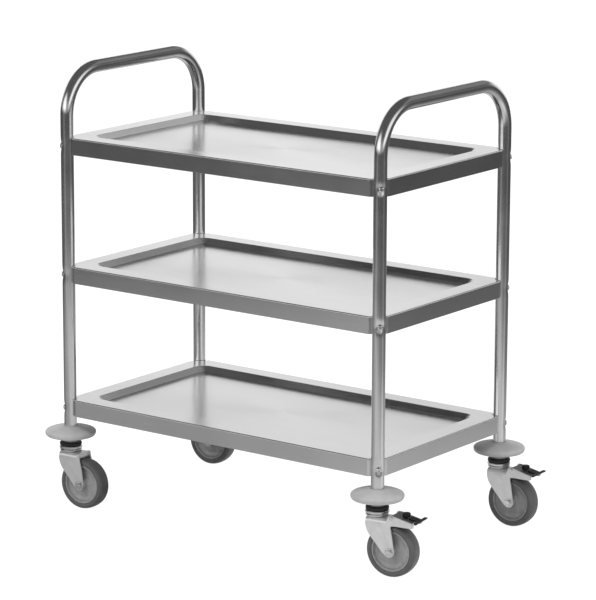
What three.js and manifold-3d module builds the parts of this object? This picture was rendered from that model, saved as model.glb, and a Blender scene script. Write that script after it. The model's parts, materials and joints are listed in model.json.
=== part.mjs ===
// A three-shelf food service trolley in stainless steel, in millimetres, +Z up, floor at z = 0.
// X runs along the trolley, Y across it; the braked castors are at the +X end.
// The origin is on the floor under the middle of the whole footprint, pedals and buffers included.
import * as THREE from 'three';
import Module from 'manifold-3d';
import { mergeVertices } from 'three/addons/utils/BufferGeometryUtils.js';

const wasm = await Module();
wasm.setup();

// ---- driving dimensions -------------------------------------------------------------------

// End frames: one round tube each, bent to an upside-down U.
const POST_SPACING_X = 740;
const POST_SPACING_Y = 410;
const TUBE_RADIUS = 12.5;
const TUBE_WALL = 1.5;
const TROLLEY_HEIGHT = 880;
const BEND_RADIUS = 88;
const TUBE_FOOT_Z = 150;
const PLUG_LENGTH = 16;

// Shelves: pressed sheet with a flat rim, a sunk tray and a deep skirt.
const SHELF_TOPS = { top: 739, middle: 485, bottom: 217 };
const SHEET = 1.5;
const SKIRT_HEIGHT = 33;
const SKIRT_BEYOND_POST = 7;
const RIM_WIDTH = 40;
const TRAY_DEPTH = 11;
const TRAY_WALL_RUN = 10.5;
const TRAY_CORNER_RADIUS = 25;
const CORNER_CUT = 8;

// Shelf screws: one through each post into a nut welded behind the shelf corner.
const SCREW_RADIUS = 3;
const SCREW_CLEARANCE = 0.3;
const SCREW_HEAD_RADIUS = 5.5;
const SCREW_HEAD_HEIGHT = 3.3;
const SCREW_SOCKET_RADIUS = 2.3;
const SCREW_SOCKET_DEPTH = 2;
const WELD_NUT_RADIUS = 6;
const WELD_NUT_END = 22;

// Castors: buffer disc, fixed head, turning fork, wheel.
const WHEEL_RADIUS = 50;
const TYRE_HALF_WIDTH = 15;
const TYRE_BORE = 38.8;
const RIM_RADIUS = 38.5;
const HUB_RADIUS = 10;
const HUB_HALF_LENGTH = 16.5;
const TRAIL = 33.5;
const AXLE_RADIUS = 4;
const RUNNING_GAP = 0.4;
const STEM_RADIUS = 6;
const STEM_TOP_Z = 185;
const BUFFER_RADIUS = 50;
const BUFFER_MID_Z = 151;
const BUFFER_TOP_Z = 164;
const BUFFER_NECK_RADIUS = 14;
const HEAD_RADIUS = 22;
const HEAD_TOP_Z = 131;
const HEAD_BOTTOM_Z = 113.4;
const CROWN_TOP_Z = 113;

// Fork: pressed sheet, two legs joined by the crown.
const FORK_SHEET = 2.5;
const FORK_HALF_WIDTH = 20;
const FORK_FRONT_X = -15;
const CROWN_REAR_X = 31;
const AXLE_EYE_RADIUS = 10;
const ARM_END_X = 83;
const ARM_END_RADIUS = 5;
const ARM_BOTTOM_Z = 101;
const ARM_TOP_Z = 120;
const CROWN_SHOULDER = 6;
const CROWN_DEPTH = 18;

// Axle: hexagon bolt and nut outside the fork legs.
const HEXAGON_RADIUS = 7.2;
const BOLT_HEAD_HEIGHT = 5.5;
const NUT_HEIGHT = 6.5;
const BOLT_END = 8.5;

// Brake: a lever hinged in the fork arms, an adjusting screw over the tyre, a foot pedal.
const LEVER_PIN_X = 38;
const LEVER_PIN_Z = 115.5;
const LEVER_PIN_RADIUS = 2;
const KNUCKLE_RADIUS = 4;
const LEVER_SHEET = 2;
const LEVER_HALF_WIDTH = 16.8;
const LEVER_END_X = 80;
const LEVER_END_DROP = 8;
const BRAKE_SCREW_X = 60;
const BRAKE_SCREW_RADIUS = 3;
const BRAKE_KNOB_RADIUS = 7.5;
const BRAKE_KNOB_HEIGHT = 8;
const BRAKE_KNOB_CHAMFER = 1.5;
const BRAKE_FOOT_RADIUS = 5;
const BRAKE_FOOT_Z = 99.7;
const PEDAL_INNER_X = 85;
const PEDAL_OUTER_X = 92;
const PEDAL_HALF_WIDTH = 24;
const PEDAL_STEM_HALF_WIDTH = 8;
const PEDAL_SHEET = 2.5;
const PEDAL_LIP = 4;

// Facets round a full turn.
const TUBE_FACETS = 16;
const BEND_STEPS = 6;
const HOLE_FACETS = 8;
const SMALL_FACETS = 12;
const DISC_FACETS = 24;
const WHEEL_FACETS = 28;

// Cutters run past the faces they cut by this much.
const OVERCUT = 2;

// Clear space between pieces that would touch face to face.
const FIT_GAP = 0.3;

// ---- materials ----------------------------------------------------------------------------

const steel = () => new THREE.MeshStandardMaterial({ color: 0xb4b6b8, roughness: 0.28, metalness: 1 });
const satinSteel = () => new THREE.MeshStandardMaterial({ color: 0xc4c5c6, roughness: 0.38, metalness: 1 });
const zinc = () => new THREE.MeshStandardMaterial({ color: 0xc8cac8, roughness: 0.35, metalness: 0.9 });
const greyPlastic = () => new THREE.MeshStandardMaterial({ color: 0xa4a5a4, roughness: 0.5, metalness: 0 });
const greyRubber = () => new THREE.MeshStandardMaterial({ color: 0x5c5d5d, roughness: 0.7, metalness: 0 });
const wheelPlastic = () => new THREE.MeshStandardMaterial({ color: 0x838584, roughness: 0.5, metalness: 0 });
const blackPaint = () => new THREE.MeshStandardMaterial({ color: 0x1c1c1d, roughness: 0.45, metalness: 0.1 });

// ---- solids -------------------------------------------------------------------------------

// A geometry as a manifold solid, for cutting and joining.
function solid(geometry) {
  const bare = geometry.clone();
  bare.deleteAttribute('normal');
  bare.deleteAttribute('uv');
  const merged = mergeVertices(bare, 1e-5);
  const mesh = new wasm.Mesh({
    numProp: 3,
    vertProperties: Float32Array.from(merged.attributes.position.array),
    triVerts: Uint32Array.from(merged.index.array),
  });
  return new wasm.Manifold(mesh);
}

// A manifold solid back to a geometry.
function geometryOf(manifold) {
  const mesh = manifold.getMesh();
  const geometry = new THREE.BufferGeometry();
  geometry.setAttribute('position', new THREE.BufferAttribute(Float32Array.from(mesh.vertProperties), 3));
  geometry.setIndex(new THREE.BufferAttribute(Uint32Array.from(mesh.triVerts), 1));
  geometry.computeVertexNormals();
  return geometry;
}

function box(x0, x1, y0, y1, z0, z1) {
  const geometry = new THREE.BoxGeometry(x1 - x0, y1 - y0, z1 - z0);
  geometry.translate((x0 + x1) / 2, (y0 + y1) / 2, (z0 + z1) / 2);
  return solid(geometry);
}

// Round bar standing on z0.
function barZ(radius, z0, z1, facets = SMALL_FACETS) {
  const geometry = new THREE.CylinderGeometry(radius, radius, z1 - z0, facets);
  geometry.rotateX(Math.PI / 2);
  geometry.translate(0, 0, (z0 + z1) / 2);
  return solid(geometry);
}

// Round bar lying along Y.
function barY(radius, y0, y1, facets = SMALL_FACETS) {
  const geometry = new THREE.CylinderGeometry(radius, radius, y1 - y0, facets);
  geometry.translate(0, (y0 + y1) / 2, 0);
  return solid(geometry);
}

// A turned body about Z from [radius, z] pairs that close on themselves.
function turnedZ(profile, facets) {
  const points = [...profile, profile[0]].map(([radius, z]) => new THREE.Vector2(radius, z));
  const geometry = new THREE.LatheGeometry(points, facets);
  geometry.rotateX(Math.PI / 2);
  return solid(geometry);
}

// A turned body about Y from [radius, y] pairs that close on themselves.
function turnedY(profile, facets) {
  const points = [...profile, profile[0]].map(([radius, y]) => new THREE.Vector2(radius, y));
  return solid(new THREE.LatheGeometry(points, facets));
}

// A whole profile from the half of it at positive y, listed from its bore outwards.
function mirrored(halfProfile) {
  const otherHalf = halfProfile.map(([radius, y]) => [radius, -y]);
  return [...otherHalf, ...[...halfProfile].reverse()];
}

// An outline of [x, z] pairs given thickness from y0 to y1.
function plateXZ(outline, y0, y1) {
  const shape = new THREE.Shape(outline.map(([x, z]) => new THREE.Vector2(x, z)));
  const geometry = new THREE.ExtrudeGeometry(shape, { depth: y1 - y0, bevelEnabled: false });
  geometry.rotateX(Math.PI / 2);
  geometry.translate(0, y1, 0);
  return solid(geometry);
}

// Points on an arc in a plane, from one angle to another, in degrees.
function arc(x, z, radius, from, to, steps) {
  const points = [];
  for (let i = 0; i <= steps; i += 1) {
    const angle = THREE.MathUtils.degToRad(from + ((to - from) * i) / steps);
    points.push([x + radius * Math.cos(angle), z + radius * Math.sin(angle)]);
  }
  return points;
}

function unite(solids) {
  return solids.reduce((whole, piece) => whole.add(piece));
}

// ---- end frame ----------------------------------------------------------------------------

// The centre line of an end frame, given as stations with exact tangents.
class FramePath extends THREE.Curve {
  constructor() {
    super();
    const halfWidth = POST_SPACING_Y / 2;
    const bendZ = TROLLEY_HEIGHT - TUBE_RADIUS - BEND_RADIUS;
    const bendY = halfWidth - BEND_RADIUS;
    const up = new THREE.Vector3(0, 0, 1);
    this.stations = [{ point: new THREE.Vector3(0, -halfWidth, TUBE_FOOT_Z), tangent: up }];
    for (const side of [-1, 1]) {
      for (let i = 0; i <= BEND_STEPS; i += 1) {
        const turn = ((side < 0 ? i : BEND_STEPS - i) / BEND_STEPS) * (Math.PI / 2);
        const y = side * (bendY + BEND_RADIUS * Math.cos(turn));
        const z = bendZ + BEND_RADIUS * Math.sin(turn);
        const tangent = new THREE.Vector3(0, Math.sin(turn), -side * Math.cos(turn));
        this.stations.push({ point: new THREE.Vector3(0, y, z), tangent });
      }
    }
    this.stations.push({ point: new THREE.Vector3(0, halfWidth, TUBE_FOOT_Z), tangent: up.clone().negate() });
  }

  get steps() {
    return this.stations.length - 1;
  }

  station(t) {
    return this.stations[Math.round(t * this.steps)];
  }

  getPoint(t) {
    return this.station(t).point.clone();
  }

  getPointAt(t) {
    return this.getPoint(t);
  }

  getTangentAt(t) {
    return this.station(t).tangent.clone();
  }
}

// Solid round bar along the frame's centre line.
function frameBar(radius) {
  const section = new THREE.Shape();
  section.absarc(0, 0, radius, 0, 2 * Math.PI);
  const path = new FramePath();
  const geometry = new THREE.ExtrudeGeometry(section, {
    steps: path.steps,
    curveSegments: TUBE_FACETS / 2,
    extrudePath: path,
  });
  return solid(geometry);
}

// Bent tube with a threaded plug in each foot and a cross hole for every shelf screw.
function endFrame(side) {
  const plugTop = TUBE_FOOT_Z + PLUG_LENGTH;
  const bore = frameBar(TUBE_RADIUS - TUBE_WALL);
  let frame = frameBar(TUBE_RADIUS).subtract(bore);
  for (const end of [-1, 1]) {
    const y = (end * POST_SPACING_Y) / 2;
    const plug = barZ(TUBE_RADIUS - TUBE_WALL / 2, TUBE_FOOT_Z, plugTop, TUBE_FACETS);
    const thread = barZ(STEM_RADIUS + SCREW_CLEARANCE, TUBE_FOOT_Z - OVERCUT, plugTop + OVERCUT);
    frame = frame.add(plug.translate([0, y, 0])).subtract(thread.translate([0, y, 0]));
    for (const shelfTop of Object.values(SHELF_TOPS)) {
      const hole = screwHole(-2 * TUBE_RADIUS, 2 * TUBE_RADIUS);
      frame = frame.subtract(diagonal(hole, side, end).translate([0, y, shelfTop - SKIRT_HEIGHT / 2]));
    }
  }
  return frame;
}

// Clearance hole for a shelf screw, along Y.
function screwHole(y0, y1) {
  return barY(SCREW_RADIUS + SCREW_CLEARANCE, y0, y1, HOLE_FACETS);
}

// Turn a body that lies along +Y so that +Y points outwards through the corner (sideX, sideY).
function diagonal(body, sideX, sideY) {
  const angle = THREE.MathUtils.radToDeg(Math.atan2(sideY, sideX)) - 90;
  return body.rotate([0, 0, angle]);
}

// ---- shelf --------------------------------------------------------------------------------

const SHELF_HALF_X = POST_SPACING_X / 2 + SKIRT_BEYOND_POST;
const SHELF_HALF_Y = POST_SPACING_Y / 2 + SKIRT_BEYOND_POST;

// `turn` is how far that castor stands turned about its king pin at rest, in degrees; 0 trails towards +X.
const CORNERS = [
  { name: 'fl', sideX: -1, sideY: -1, braked: false, turn: 4 },
  { name: 'fr', sideX: 1, sideY: -1, braked: true, turn: 9 },
  { name: 'rr', sideX: 1, sideY: 1, braked: true, turn: 3 },
  { name: 'rl', sideX: -1, sideY: 1, braked: false, turn: 4 },
];

// The shelf's outline drawn in by `inset`, as a block: corners cut off at 45 degrees and hollowed for the posts.
function shelfBlock(inset, z0, z1) {
  const halfX = SHELF_HALF_X - inset;
  const halfY = SHELF_HALF_Y - inset;
  const saddle = TUBE_RADIUS + FIT_GAP + inset;
  const reach = 3 * TUBE_RADIUS;
  let block = box(-halfX, halfX, -halfY, halfY, z0, z1);
  for (const { sideX, sideY } of CORNERS) {
    const cut = box(-reach, reach, -(CORNER_CUT + inset), reach, z0 - OVERCUT, z1 + OVERCUT);
    const round = barZ(saddle, z0 - OVERCUT, z1 + OVERCUT, TUBE_FACETS);
    const post = [(sideX * POST_SPACING_X) / 2, (sideY * POST_SPACING_Y) / 2, 0];
    block = block.subtract(diagonal(cut.add(round), sideX, sideY).translate(post));
  }
  return block;
}

// The sunk tray as a block with sloping sides, grown by `grow`.
function trayBlock(grow, z0, z1) {
  const slope = TRAY_WALL_RUN / TRAY_DEPTH;
  const halfX = SHELF_HALF_X - RIM_WIDTH + grow;
  const halfY = SHELF_HALF_Y - RIM_WIDTH + grow;
  const radius = TRAY_CORNER_RADIUS + grow;
  const centreX = halfX - radius;
  const centreY = halfY - radius;
  const shape = new THREE.Shape();
  shape.absarc(centreX, centreY, radius, 0, Math.PI / 2);
  shape.absarc(-centreX, centreY, radius, Math.PI / 2, Math.PI);
  shape.absarc(-centreX, -centreY, radius, Math.PI, 1.5 * Math.PI);
  shape.absarc(centreX, -centreY, radius, 1.5 * Math.PI, 2 * Math.PI);
  const geometry = new THREE.ExtrudeGeometry(shape, { depth: z1 - z0, bevelEnabled: false, curveSegments: 5 });
  const position = geometry.attributes.position;
  for (let i = 0; i < position.count; i += 1) {
    const z = z0 + position.getZ(i);
    const scale = 1 + (slope * z) / radius;
    const cornerX = Math.sign(position.getX(i)) * centreX;
    const cornerY = Math.sign(position.getY(i)) * centreY;
    const x = cornerX + (position.getX(i) - cornerX) * scale;
    const y = cornerY + (position.getY(i) - cornerY) * scale;
    position.setXYZ(i, x, y, z);
  }
  return solid(geometry);
}

// Shelf with its rim at z = 0: skirt, rim and sunk tray in one sheet, with a nut welded in each corner.
function shelf() {
  const tray = trayBlock(0, -TRAY_DEPTH, OVERCUT);
  const underTray = trayBlock(SHEET, -TRAY_DEPTH - SHEET, 0);
  const hollow = shelfBlock(SHEET, -SKIRT_HEIGHT - OVERCUT, -SHEET).subtract(underTray);
  let body = shelfBlock(0, -SKIRT_HEIGHT, 0).subtract(tray).subtract(hollow);
  for (const { sideX, sideY } of CORNERS) {
    const post = [(sideX * POST_SPACING_X) / 2, (sideY * POST_SPACING_Y) / 2, -SKIRT_HEIGHT / 2];
    const seat = -(TUBE_RADIUS + FIT_GAP + SHEET / 2);
    const nut = barY(WELD_NUT_RADIUS, -WELD_NUT_END, seat, 6);
    const thread = screwHole(-WELD_NUT_END - OVERCUT, 0);
    body = body.add(diagonal(nut, sideX, sideY).translate(post));
    body = body.subtract(diagonal(thread, sideX, sideY).translate(post));
  }
  return body;
}

// Button-head screw along Y, its head outside the post and its tip inside the welded nut.
function shelfScrew() {
  const seat = TUBE_RADIUS + FIT_GAP;
  const crown = seat + SCREW_HEAD_HEIGHT;
  const shoulder = seat + SCREW_HEAD_HEIGHT * 0.45;
  const profile = [
    [0, -WELD_NUT_END - 1],
    [SCREW_RADIUS, -WELD_NUT_END - 1],
    [SCREW_RADIUS, seat],
    [SCREW_HEAD_RADIUS, seat],
    [SCREW_HEAD_RADIUS, shoulder],
    [SCREW_HEAD_RADIUS * 0.65, crown],
    [0, crown],
  ];
  const socket = barY(SCREW_SOCKET_RADIUS, crown - SCREW_SOCKET_DEPTH, crown + OVERCUT, 6);
  return turnedY(profile, SMALL_FACETS).subtract(socket);
}

// ---- castor parts -------------------------------------------------------------------------

// Domed buffer disc that the post foot sits in, with a neck down to the castor head.
function buffer() {
  const bore = STEM_RADIUS + SCREW_CLEARANCE;
  const socket = TUBE_RADIUS + FIT_GAP;
  const edge = BUFFER_RADIUS - 2;
  const profile = [
    [bore, HEAD_TOP_Z],
    [BUFFER_NECK_RADIUS, HEAD_TOP_Z],
    [BUFFER_NECK_RADIUS, BUFFER_MID_Z - 8],
    [BUFFER_RADIUS - 12, BUFFER_MID_Z - 6.5],
    [edge, BUFFER_MID_Z - 3.5],
    [BUFFER_RADIUS, BUFFER_MID_Z],
    [edge, BUFFER_MID_Z + 4],
    [BUFFER_RADIUS - 10, BUFFER_MID_Z + 7.5],
    [BUFFER_RADIUS - 24, BUFFER_MID_Z + 11],
    [socket + 3, BUFFER_TOP_Z],
    [socket, BUFFER_TOP_Z],
    [socket, TUBE_FOOT_Z - FIT_GAP],
    [bore, TUBE_FOOT_Z - FIT_GAP],
  ];
  return turnedZ(profile, DISC_FACETS);
}

// King pin: riveted below the crown, passes the head and buffer and screws into the post foot.
function stem() {
  const rivetTop = CROWN_TOP_Z - FORK_SHEET - RUNNING_GAP;
  const profile = [
    [0, rivetTop - 3.5],
    [STEM_RADIUS + 1, rivetTop - 3.5],
    [STEM_RADIUS + 3, rivetTop - 1.5],
    [STEM_RADIUS + 3, rivetTop],
    [STEM_RADIUS, rivetTop],
    [STEM_RADIUS, STEM_TOP_Z - 1],
    [STEM_RADIUS - 1, STEM_TOP_Z],
    [0, STEM_TOP_Z],
  ];
  return turnedZ(profile, SMALL_FACETS);
}

// Fixed head: ball race housing with a rolled edge and a dust ring above it.
function head() {
  const bore = STEM_RADIUS + SCREW_CLEARANCE;
  const groove = HEAD_BOTTOM_Z + 4.2;
  const race = groove + 6;
  const profile = [
    [bore, HEAD_BOTTOM_Z],
    [HEAD_RADIUS - 2, HEAD_BOTTOM_Z],
    [HEAD_RADIUS - 0.5, groove - 0.8],
    [HEAD_RADIUS - 2, groove],
    [HEAD_RADIUS + 0.5, groove + 1.5],
    [HEAD_RADIUS + 0.5, race - 1],
    [HEAD_RADIUS - 1, race],
    [HEAD_RADIUS - 0.5, race + 1.5],
    [HEAD_RADIUS - 2, HEAD_TOP_Z],
    [bore, HEAD_TOP_Z],
  ];
  return turnedZ(profile, DISC_FACETS);
}

// Outline of one fork leg seen from the side: wide at the crown, curving back to the axle eye.
function legOutline() {
  const rearAtCrown = [CROWN_REAR_X + 2.5, CROWN_TOP_Z];
  return [
    [FORK_FRONT_X, CROWN_TOP_Z],
    [FORK_FRONT_X, CROWN_TOP_Z - 14],
    [FORK_FRONT_X + 3, CROWN_TOP_Z - 25],
    [FORK_FRONT_X + 11, CROWN_TOP_Z - 37],
    [FORK_FRONT_X + 24, CROWN_TOP_Z - 52],
    ...arc(TRAIL, WHEEL_RADIUS, AXLE_EYE_RADIUS, 220, 365, 7),
    rearAtCrown,
  ];
}

// Outline of one brake arm: a tongue above the tyre with a rounded end.
function armOutline() {
  const endRadius = ARM_END_RADIUS;
  return [
    [CROWN_REAR_X - 6, CROWN_TOP_Z - 14],
    [CROWN_REAR_X + 6, ARM_BOTTOM_Z],
    ...arc(ARM_END_X - endRadius, ARM_BOTTOM_Z + endRadius, endRadius, -90, 60, 5),
    [CROWN_REAR_X + 10, ARM_TOP_Z],
    [CROWN_REAR_X + 3, ARM_TOP_Z],
    [CROWN_REAR_X - 3, CROWN_TOP_Z],
    [CROWN_REAR_X - 6, CROWN_TOP_Z],
  ];
}

// The crown with its two rounded shoulders, as a U section swept along X.
function crownShell() {
  const foot = CROWN_TOP_Z - CROWN_DEPTH;
  const section = (halfWidth, top, radius) => [
    [halfWidth, foot],
    ...arc(halfWidth - radius, top - radius, radius, 0, 90, 4),
    ...arc(-(halfWidth - radius), top - radius, radius, 90, 180, 4),
    [-halfWidth, foot],
  ];
  const along = (outline, x0, x1) => plateXZ(outline, x0, x1).rotate([0, 0, -90]);
  const outer = along(section(FORK_HALF_WIDTH, CROWN_TOP_Z, CROWN_SHOULDER), FORK_FRONT_X, CROWN_REAR_X);
  const innerTop = CROWN_TOP_Z - FORK_SHEET;
  const inner = section(FORK_HALF_WIDTH - FORK_SHEET, innerTop, CROWN_SHOULDER - FORK_SHEET)
    .map(([y, z]) => [y, z === foot ? z - OVERCUT : z]);
  return outer.subtract(along(inner, FORK_FRONT_X - OVERCUT, CROWN_REAR_X + OVERCUT));
}

// Pressed fork; the braked one has arms for the lever, the plain one a flange closing its back.
function fork(braked) {
  const inside = FORK_HALF_WIDTH - FORK_SHEET;
  const legs = [-1, 1].map((side) => {
    const [y0, y1] = side < 0 ? [-FORK_HALF_WIDTH, -inside] : [inside, FORK_HALF_WIDTH];
    const leg = plateXZ(legOutline(), y0, y1);
    return braked ? leg.add(plateXZ(armOutline(), y0, y1)) : leg;
  });
  const trimmed = unite(legs).subtract(shoulderTrim());
  let body = trimmed.add(crownShell());
  if (!braked) {
    const flange = box(CROWN_REAR_X - FORK_SHEET, CROWN_REAR_X, -inside - 1, inside + 1, ARM_BOTTOM_Z, CROWN_TOP_Z - 1);
    body = body.add(flange);
  }
  const kingPinHole = barZ(STEM_RADIUS + RUNNING_GAP, CROWN_TOP_Z - CROWN_SHOULDER, CROWN_TOP_Z + OVERCUT);
  const axleHole = barY(AXLE_RADIUS + SCREW_CLEARANCE, -2 * FORK_HALF_WIDTH, 2 * FORK_HALF_WIDTH);
  body = body.subtract(kingPinHole).subtract(axleHole.translate([TRAIL, 0, WHEEL_RADIUS]));
  if (braked) {
    const pinHole = barY(LEVER_PIN_RADIUS + SCREW_CLEARANCE, -2 * FORK_HALF_WIDTH, 2 * FORK_HALF_WIDTH);
    body = body.subtract(pinHole.translate([LEVER_PIN_X, 0, LEVER_PIN_Z]));
  }
  return body;
}

// What the rounded shoulders leave out of the square tops of the leg plates, over the crown only.
function shoulderTrim() {
  const top = CROWN_TOP_Z - CROWN_SHOULDER;
  const x0 = FORK_FRONT_X - OVERCUT;
  return box(x0, CROWN_REAR_X - 3, -FORK_HALF_WIDTH - OVERCUT, FORK_HALF_WIDTH + OVERCUT, top, CROWN_TOP_Z + 1);
}

// Axle bolt along Y: hexagon head on the near side, thread end past the nut on the far side.
function axleBolt() {
  const head = barY(HEXAGON_RADIUS, -FORK_HALF_WIDTH - BOLT_HEAD_HEIGHT, -FORK_HALF_WIDTH - FIT_GAP, 6);
  const shank = barY(AXLE_RADIUS, -FORK_HALF_WIDTH - 1, FORK_HALF_WIDTH + BOLT_END);
  return head.add(shank);
}

function axleNut() {
  const nut = barY(HEXAGON_RADIUS, FORK_HALF_WIDTH + FIT_GAP, FORK_HALF_WIDTH + NUT_HEIGHT, 6);
  return nut.subtract(barY(AXLE_RADIUS + SCREW_CLEARANCE, FORK_HALF_WIDTH - OVERCUT, FORK_HALF_WIDTH + BOLT_END));
}

// Wheel centre: hub, dished web and rim, the same on both sides.
function wheelCentre() {
  const bore = AXLE_RADIUS + RUNNING_GAP;
  const halfProfile = [
    [bore, HUB_HALF_LENGTH],
    [HUB_RADIUS, HUB_HALF_LENGTH],
    [HUB_RADIUS + 1, 6],
    [RIM_RADIUS - 8, 4],
    [RIM_RADIUS - 4, 12.5],
    [RIM_RADIUS, 12.5],
  ];
  return turnedY(mirrored(halfProfile), WHEEL_FACETS);
}

function tyre() {
  const wall = TYRE_HALF_WIDTH;
  const halfProfile = [
    [TYRE_BORE, wall - 1.5],
    [TYRE_BORE + 2, wall],
    [WHEEL_RADIUS - 5, wall - 0.7],
    [WHEEL_RADIUS - 1.6, wall - 4.5],
    [WHEEL_RADIUS, wall - 10],
  ];
  return turnedY(mirrored(halfProfile), WHEEL_FACETS);
}

// ---- brake parts --------------------------------------------------------------------------

// Height of the lever's upper face at x.
function leverTop(x) {
  const start = LEVER_PIN_Z + KNUCKLE_RADIUS;
  return start - (LEVER_END_DROP * (x - LEVER_PIN_X)) / (LEVER_END_X - LEVER_PIN_X);
}

// Lever: a plate rolled into a knuckle round its pin, drilled for the adjusting screw.
function brakeLever() {
  const outline = [
    [LEVER_PIN_X, leverTop(LEVER_PIN_X)],
    [LEVER_PIN_X, leverTop(LEVER_PIN_X) - LEVER_SHEET],
    [LEVER_END_X, leverTop(LEVER_END_X) - LEVER_SHEET],
    [LEVER_END_X, leverTop(LEVER_END_X)],
  ];
  const plate = plateXZ(outline, -LEVER_HALF_WIDTH, LEVER_HALF_WIDTH);
  const pinPlace = [LEVER_PIN_X, 0, LEVER_PIN_Z];
  const knuckle = barY(KNUCKLE_RADIUS, -LEVER_HALF_WIDTH, LEVER_HALF_WIDTH).translate(pinPlace);
  const bore = barY(LEVER_PIN_RADIUS + SCREW_CLEARANCE, -LEVER_HALF_WIDTH - 1, LEVER_HALF_WIDTH + 1);
  const screwHole = barZ(BRAKE_SCREW_RADIUS + SCREW_CLEARANCE, BRAKE_FOOT_Z, ARM_TOP_Z + 5);
  return plate.add(knuckle).subtract(bore.translate(pinPlace)).subtract(screwHole.translate([BRAKE_SCREW_X, 0, 0]));
}

// Pin with a round head at each end, across both fork arms.
function brakePin() {
  const headStart = FORK_HALF_WIDTH + FIT_GAP;
  const headEnd = headStart + 1.5;
  const headRadius = 2 * LEVER_PIN_RADIUS;
  const shank = barY(LEVER_PIN_RADIUS, -headStart - 1, headStart + 1);
  const near = barY(headRadius, -headEnd, -headStart);
  const far = barY(headRadius, headStart, headEnd);
  return unite([shank, near, far]);
}

// Adjusting screw: knob above the pedal stem, foot above the tyre.
function brakeScrew() {
  const knobBottom = leverTop(BRAKE_SCREW_X - BRAKE_KNOB_RADIUS) + FIT_GAP;
  const knobTop = knobBottom + BRAKE_KNOB_HEIGHT;
  const underLever = leverTop(BRAKE_SCREW_X) - LEVER_SHEET - 1.2;
  const profile = [
    [0, BRAKE_FOOT_Z],
    [BRAKE_FOOT_RADIUS - 0.6, BRAKE_FOOT_Z],
    [BRAKE_FOOT_RADIUS, BRAKE_FOOT_Z + 1],
    [BRAKE_FOOT_RADIUS, BRAKE_FOOT_Z + 4],
    [BRAKE_SCREW_RADIUS, underLever - 5],
    [BRAKE_SCREW_RADIUS, knobBottom],
    [BRAKE_KNOB_RADIUS, knobBottom],
    [BRAKE_KNOB_RADIUS, knobTop - BRAKE_KNOB_CHAMFER],
    [BRAKE_KNOB_RADIUS - BRAKE_KNOB_CHAMFER, knobTop],
    [0, knobTop],
  ];
  return turnedZ(profile, SMALL_FACETS);
}

// Foot pedal: a stem lying on the lever and a wide toe plate with its outer edge turned up.
function brakePedal() {
  const stemStart = BRAKE_SCREW_X + BRAKE_KNOB_RADIUS + 1;
  const rest = (x) => leverTop(x) + FIT_GAP;
  const stemOutline = [
    [stemStart, rest(stemStart)],
    [PEDAL_INNER_X + 1, rest(PEDAL_INNER_X + 1)],
    [PEDAL_INNER_X + 1, rest(PEDAL_INNER_X + 1) + PEDAL_SHEET],
    [stemStart, rest(stemStart) + PEDAL_SHEET],
  ];
  const toeOutline = [
    [PEDAL_INNER_X, rest(PEDAL_INNER_X)],
    [PEDAL_OUTER_X - 3, rest(PEDAL_OUTER_X - 3)],
    [PEDAL_OUTER_X, rest(PEDAL_OUTER_X) + PEDAL_LIP],
    [PEDAL_OUTER_X - PEDAL_SHEET, rest(PEDAL_OUTER_X) + PEDAL_LIP + 0.7],
    [PEDAL_OUTER_X - 4.5, rest(PEDAL_OUTER_X - 4.5) + PEDAL_SHEET],
    [PEDAL_INNER_X, rest(PEDAL_INNER_X) + PEDAL_SHEET],
  ];
  const lug = plateXZ(stemOutline, -PEDAL_STEM_HALF_WIDTH, PEDAL_STEM_HALF_WIDTH);
  return lug.add(plateXZ(toeOutline, -PEDAL_HALF_WIDTH, PEDAL_HALF_WIDTH));
}

// ---- assembly -----------------------------------------------------------------------------

const trolley = new THREE.Group();
trolley.name = 'food_service_trolley';

// Everything is placed from the middle of the four posts.
const posts = new THREE.Group();
trolley.add(posts);

function addMesh(parent, name, body, material) {
  const mesh = new THREE.Mesh(geometryOf(body), material);
  mesh.name = name;
  parent.add(mesh);
  return mesh;
}

function addFrames() {
  for (const [name, side] of [['end_frame_left', -1], ['end_frame_right', 1]]) {
    const mesh = addMesh(posts, name, endFrame(side), steel());
    mesh.position.x = (side * POST_SPACING_X) / 2;
  }
}

function addShelves() {
  const body = shelf();
  for (const [level, z] of Object.entries(SHELF_TOPS)) {
    addMesh(posts, `shelf_${level}`, body, satinSteel()).position.z = z;
  }
}

function addScrews() {
  for (const [level, z] of Object.entries(SHELF_TOPS)) {
    for (const { name, sideX, sideY } of CORNERS) {
      const body = diagonal(shelfScrew(), sideX, sideY);
      const mesh = addMesh(posts, `screw_${level}_${name}`, body, zinc());
      mesh.position.set((sideX * POST_SPACING_X) / 2, (sideY * POST_SPACING_Y) / 2, z - SKIRT_HEIGHT / 2);
    }
  }
}

function addBrake(fork, name) {
  addMesh(fork, `brake_${name}_lever`, brakeLever(), zinc());
  addMesh(fork, `brake_${name}_screw`, brakeScrew(), blackPaint()).position.x = BRAKE_SCREW_X;
  addMesh(fork, `brake_${name}_pedal`, brakePedal(), blackPaint());
  addMesh(fork, `brake_${name}_pin`, brakePin(), zinc()).position.set(LEVER_PIN_X, 0, LEVER_PIN_Z);
}

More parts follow.
